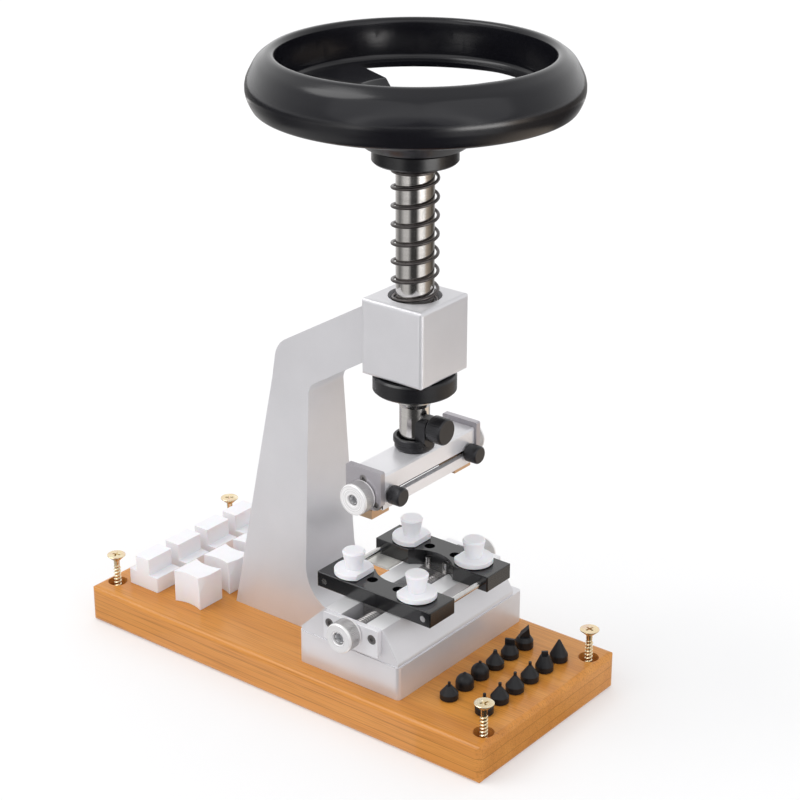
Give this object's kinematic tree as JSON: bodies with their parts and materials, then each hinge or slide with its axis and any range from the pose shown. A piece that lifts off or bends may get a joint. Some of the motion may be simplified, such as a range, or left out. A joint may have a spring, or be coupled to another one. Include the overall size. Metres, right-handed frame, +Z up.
{
  "type": "bench watch case opener",
  "caption": "Bench press for watch cases: a handwheel on a sprung spindle with screw-driven opener jaws, over a screw-driven peg vise on a wooden base with spare bits and blocks.",
  "frame": {"origin": "centre of the underside of the wooden base", "axes": "+X along the base from the column to the rack of bits, +Y across the base to the far side, +Z up along the spindle"},
  "size_m": [0.24, 0.1436, 0.3025],
  "materials": {
    "wood": "clear satin varnish",
    "casting": "silver satin paint",
    "steel": "bright turned",
    "spring_steel": "oiled wire",
    "black_metal": "black satin coat",
    "anodised": "black anodised",
    "wheel_plastic": "black satin",
    "bar_metal": "silver satin",
    "knob_metal": "fine knurled",
    "nylon": "white satin",
    "brass": "machined",
    "zinc": "yellow zinc",
    "bit_steel": "black oxide"
  },
  "bodies": {
    "stand": {"wood_base": "wood", "frame_casting": "casting", "spindle_bush": "steel", "base_bolts": "steel", "base_washers": "steel", "wood_screws": "zinc", "pin_bits": "bit_steel", "flat_pin_bit": "bit_steel", "dome_bits": "bit_steel", "chisel_bit": "bit_steel", "claw_bit": "bit_steel", "cone_bit": "bit_steel", "step_blocks": "nylon", "groove_blocks": "nylon", "vise_near_plate": "bar_metal", "vise_far_plate": "bar_metal", "vise_plate_screws": "steel", "return_spring": "spring_steel"},
    "spring_seat": {"spring_washer": "steel"},
    "spindle": {"spindle_shaft": "steel", "upper_collar": "black_metal", "lower_collar": "black_metal", "collar_screws": "steel", "handwheel": "wheel_plastic", "wheel_washer": "steel", "wheel_nut": "steel", "holder_cup": "black_metal", "holder_bolt": "steel", "opener_bar": "bar_metal", "opener_near_plate": "bar_metal", "opener_far_plate": "bar_metal", "opener_plate_screws": "steel"},
    "clamp_screw_body": {"clamp_screw": "black_metal"},
    "jaw_screw_body": {"jaw_screw": "steel", "opener_near_knob": "knob_metal", "opener_far_knob": "knob_metal", "opener_knob_screws": "steel"},
    "near_jaw_body": {"near_jaw": "brass"},
    "far_jaw_body": {"far_jaw": "brass"},
    "near_jaw_lock": {"near_jaw_thumb_screw": "black_metal"},
    "far_jaw_lock": {"far_jaw_thumb_screw": "black_metal"},
    "vise_screw_body": {"vise_screw": "steel", "vise_near_knob": "knob_metal", "vise_far_knob": "knob_metal", "vise_knob_screws": "steel"},
    "near_vise": {"near_vise_block": "anodised", "near_vise_nut": "steel", "near_nut_screws": "steel", "guide_rods": "steel"},
    "far_vise": {"far_vise_block": "anodised", "far_slide_plate": "steel", "slide_plate_screws": "steel", "far_vise_nut": "steel", "far_nut_screws": "steel"},
    "near_left_peg_body": {"near_left_peg": "nylon"},
    "near_right_peg_body": {"near_right_peg": "nylon"},
    "far_left_peg_body": {"far_left_peg": "nylon"},
    "far_right_peg_body": {"far_right_peg": "nylon"}
  },
  "joints": [
    {"name": "spindle_press", "type": "slide", "parent": "stand", "child": "spring_seat", "axis": [0, 0, -1], "range_m": [0, 0.024], "stiffness_N_per_m": 900, "springref_m": -0.025, "deforming": ["return_spring"]},
    {"name": "spindle_turn", "type": "hinge", "parent": "spring_seat", "child": "spindle", "pos_m": [0.042, 0, 0.15], "axis": [0, 0, 1], "continuous": true},
    {"name": "clamp_screw_turn", "type": "hinge", "parent": "spindle", "child": "clamp_screw_body", "pos_m": [0.056, 0, 0.1327], "axis": [1, 0, 0], "range_deg": [0, 720]},
    {"name": "jaw_screw_turn", "type": "hinge", "parent": "spindle", "child": "jaw_screw_body", "pos_m": [0.042, 0, 0.1107], "axis": [0, 1, 0], "range_deg": [0, 6480]},
    {"name": "near_jaw_slide", "type": "slide", "parent": "spindle", "child": "near_jaw_body", "axis": [0, 1, 0], "range_m": [0, 0.018]},
    {"name": "far_jaw_slide", "type": "slide", "parent": "spindle", "child": "far_jaw_body", "axis": [0, -1, 0], "range_m": [0, 0.018]},
    {"name": "near_jaw_lock_turn", "type": "hinge", "parent": "near_jaw_body", "child": "near_jaw_lock", "pos_m": [0.054, -0.0284, 0.1107], "axis": [1, 0, 0], "range_deg": [0, 720]},
    {"name": "far_jaw_lock_turn", "type": "hinge", "parent": "far_jaw_body", "child": "far_jaw_lock", "pos_m": [0.054, 0.0284, 0.1107], "axis": [1, 0, 0], "range_deg": [0, 720]},
    {"name": "vise_screw_turn", "type": "hinge", "parent": "stand", "child": "vise_screw_body", "pos_m": [0.042, 0, 0.0463], "axis": [0, 1, 0], "range_deg": [-1920, 2400]},
    {"name": "near_vise_slide", "type": "slide", "parent": "stand", "child": "near_vise", "axis": [0, 1, 0], "range_m": [-0.008, 0.01]},
    {"name": "far_vise_slide", "type": "slide", "parent": "stand", "child": "far_vise", "axis": [0, -1, 0], "range_m": [-0.008, 0.01]},
    {"name": "near_left_peg_turn", "type": "hinge", "parent": "near_vise", "child": "near_left_peg_body", "pos_m": [0.0237, -0.0215, 0.0596], "axis": [0, 0, 1], "continuous": true},
    {"name": "near_right_peg_turn", "type": "hinge", "parent": "near_vise", "child": "near_right_peg_body", "pos_m": [0.0603, -0.0215, 0.0596], "axis": [0, 0, 1], "continuous": true},
    {"name": "far_left_peg_turn", "type": "hinge", "parent": "far_vise", "child": "far_left_peg_body", "pos_m": [0.0237, 0.0215, 0.0596], "axis": [0, 0, 1], "continuous": true},
    {"name": "far_right_peg_turn", "type": "hinge", "parent": "far_vise", "child": "far_right_peg_body", "pos_m": [0.0603, 0.0215, 0.0596], "axis": [0, 0, 1], "continuous": true}
  ],
  "couplings": [
    {"joint": "jaw_screw_turn", "follows": "near_jaw_slide", "rad_per_m": 6283.2},
    {"joint": "far_jaw_slide", "follows": "near_jaw_slide", "ratio": 1},
    {"joint": "vise_screw_turn", "follows": "near_vise_slide", "rad_per_m": 4188.8},
    {"joint": "far_vise_slide", "follows": "near_vise_slide", "ratio": 1}
  ]
}
